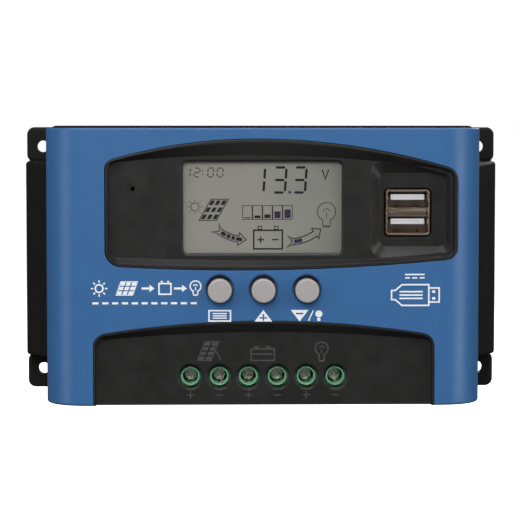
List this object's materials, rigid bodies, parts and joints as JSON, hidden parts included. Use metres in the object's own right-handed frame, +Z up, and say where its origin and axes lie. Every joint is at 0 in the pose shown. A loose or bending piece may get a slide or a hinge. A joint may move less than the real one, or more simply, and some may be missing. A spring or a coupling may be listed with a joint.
{
  "type": "charge controller",
  "caption": "Wall-mounted solar charge controller with an LCD panel, push buttons, stacked USB sockets and a row of rising-cage screw terminals.",
  "frame": {"origin": "centre of the four wall-mounting holes, on the wall plane at the back of the base", "axes": "+X to the right across the front, +Z up the wall, +Y into the wall, so the front faces -Y"},
  "size_m": [0.1616, 0.0484, 0.0918],
  "materials": {
    "base_plastic": "fine moulded texture, black",
    "cover_plastic": "satin blue with a fine grain",
    "bezel_plastic": "satin black",
    "window_plastic": "clear polished acrylic",
    "lcd_glass": "grey liquid-crystal cell",
    "light_guide": "frosted white",
    "dark_rubber": "striped silicone strip",
    "circuit_board": "green solder mask over woven glass",
    "usb_steel": "nickel-plated folded sheet",
    "white_plastic": "white moulded",
    "contact_gold": "thin gold plating",
    "ferrite": "sintered dark grey",
    "black_nylon": "black moulded",
    "green_nylon": "green moulded",
    "tinned_copper": "dull tin plating",
    "epoxy": "black moulded epoxy",
    "thermal_rubber": "grey silicone pad",
    "zinc_steel": "bright zinc plating",
    "heatsink_aluminium": "mill finish",
    "enamelled_copper": "glossy enamel over copper",
    "can_aluminium": "bright drawn can",
    "sleeve_film": "dark shrink sleeve",
    "fuse_plastic": "orange translucent",
    "led_lens": "tinted diffused lens",
    "button_plastic": "grey, slightly glossy",
    "terminal_steel": "zinc-plated steel"
  },
  "bodies": {
    "case": {"base_housing": "base_plastic", "blade_fuse": "fuse_plastic", "capacitor_cans": "can_aluminium", "capacitor_sleeves": "sleeve_film", "case_screws": "zinc_steel", "clamp_bar": "zinc_steel", "clamp_screws": "zinc_steel", "contact_bars": "tinned_copper", "controller_chip": "epoxy", "display_bezel": "bezel_plastic", "display_pcb": "circuit_board", "display_screws": "zinc_steel", "driver_chip": "epoxy", "front_cover": "cover_plastic", "header_pins": "contact_gold", "header_shroud": "black_nylon", "heatsink_plate": "heatsink_aluminium", "inductor_core": "ferrite", "inductor_seat": "black_nylon", "inductor_winding": "enamelled_copper", "lcd_backlight": "light_guide", "lcd_glass": "lcd_glass", "lcd_window": "window_plastic", "main_pcb": "circuit_board", "main_pcb_screws": "zinc_steel", "mosfet_leads": "tinned_copper", "plate_screws": "zinc_steel", "power_mosfets": "epoxy", "status_led": "led_lens", "switch_bodies": "black_nylon", "terminal_block": "green_nylon", "terminal_panel": "bezel_plastic", "thermal_pad": "thermal_rubber", "usb_contacts": "contact_gold", "usb_converter_coil": "ferrite", "usb_pcb": "circuit_board", "usb_pins": "contact_gold", "usb_shell": "usb_steel", "usb_tongues": "white_plastic", "zebra_strip": "dark_rubber"},
    "button_menu": {"button_cap_menu": "button_plastic", "switch_plunger_menu": "black_nylon"},
    "button_up": {"button_cap_up": "button_plastic", "switch_plunger_up": "black_nylon"},
    "button_down": {"button_cap_down": "button_plastic", "switch_plunger_down": "black_nylon"},
    "screw_1": {"terminal_screw_1": "terminal_steel"},
    "screw_2": {"terminal_screw_2": "terminal_steel"},
    "screw_3": {"terminal_screw_3": "terminal_steel"},
    "screw_4": {"terminal_screw_4": "terminal_steel"},
    "screw_5": {"terminal_screw_5": "terminal_steel"},
    "screw_6": {"terminal_screw_6": "terminal_steel"},
    "cage_1": {"clamp_cage_1": "tinned_copper"},
    "cage_2": {"clamp_cage_2": "tinned_copper"},
    "cage_3": {"clamp_cage_3": "tinned_copper"},
    "cage_4": {"clamp_cage_4": "tinned_copper"},
    "cage_5": {"clamp_cage_5": "tinned_copper"},
    "cage_6": {"clamp_cage_6": "tinned_copper"}
  },
  "joints": [
    {"name": "button_menu_press", "type": "slide", "parent": "case", "child": "button_menu", "axis": [0, 1, 0], "range_m": [0, 0.0005], "stiffness_N_per_m": 400},
    {"name": "button_up_press", "type": "slide", "parent": "case", "child": "button_up", "axis": [0, 1, 0], "range_m": [0, 0.0005], "stiffness_N_per_m": 400},
    {"name": "button_down_press", "type": "slide", "parent": "case", "child": "button_down", "axis": [0, 1, 0], "range_m": [0, 0.0005], "stiffness_N_per_m": 400},
    {"name": "cage_1_rise", "type": "slide", "parent": "case", "child": "cage_1", "axis": [0, -1, 0], "range_m": [0, 0.0042]},
    {"name": "cage_2_rise", "type": "slide", "parent": "case", "child": "cage_2", "axis": [0, -1, 0], "range_m": [0, 0.0042]},
    {"name": "cage_3_rise", "type": "slide", "parent": "case", "child": "cage_3", "axis": [0, -1, 0], "range_m": [0, 0.0042]},
    {"name": "cage_4_rise", "type": "slide", "parent": "case", "child": "cage_4", "axis": [0, -1, 0], "range_m": [0, 0.0042]},
    {"name": "cage_5_rise", "type": "slide", "parent": "case", "child": "cage_5", "axis": [0, -1, 0], "range_m": [0, 0.0042]},
    {"name": "cage_6_rise", "type": "slide", "parent": "case", "child": "cage_6", "axis": [0, -1, 0], "range_m": [0, 0.0042]},
    {"name": "screw_1_turn", "type": "hinge", "parent": "case", "child": "screw_1", "pos_m": [-0.02415, -0.032, -0.037], "axis": [0, 1, 0], "range_deg": [0, 2521]},
    {"name": "screw_2_turn", "type": "hinge", "parent": "case", "child": "screw_2", "pos_m": [-0.01463, -0.032, -0.037], "axis": [0, 1, 0], "range_deg": [0, 2521]},
    {"name": "screw_3_turn", "type": "hinge", "parent": "case", "child": "screw_3", "pos_m": [-0.00511, -0.032, -0.037], "axis": [0, 1, 0], "range_deg": [0, 2521]},
    {"name": "screw_4_turn", "type": "hinge", "parent": "case", "child": "screw_4", "pos_m": [0.00441, -0.032, -0.037], "axis": [0, 1, 0], "range_deg": [0, 2521]},
    {"name": "screw_5_turn", "type": "hinge", "parent": "case", "child": "screw_5", "pos_m": [0.01393, -0.032, -0.037], "axis": [0, 1, 0], "range_deg": [0, 2521]},
    {"name": "screw_6_turn", "type": "hinge", "parent": "case", "child": "screw_6", "pos_m": [0.02345, -0.032, -0.037], "axis": [0, 1, 0], "range_deg": [0, 2521]}
  ],
  "couplings": [
    {"joint": "screw_1_turn", "follows": "cage_1_rise", "rad_per_m": 10472},
    {"joint": "screw_2_turn", "follows": "cage_2_rise", "rad_per_m": 10472},
    {"joint": "screw_3_turn", "follows": "cage_3_rise", "rad_per_m": 10472},
    {"joint": "screw_4_turn", "follows": "cage_4_rise", "rad_per_m": 10472},
    {"joint": "screw_5_turn", "follows": "cage_5_rise", "rad_per_m": 10472},
    {"joint": "screw_6_turn", "follows": "cage_6_rise", "rad_per_m": 10472}
  ]
}
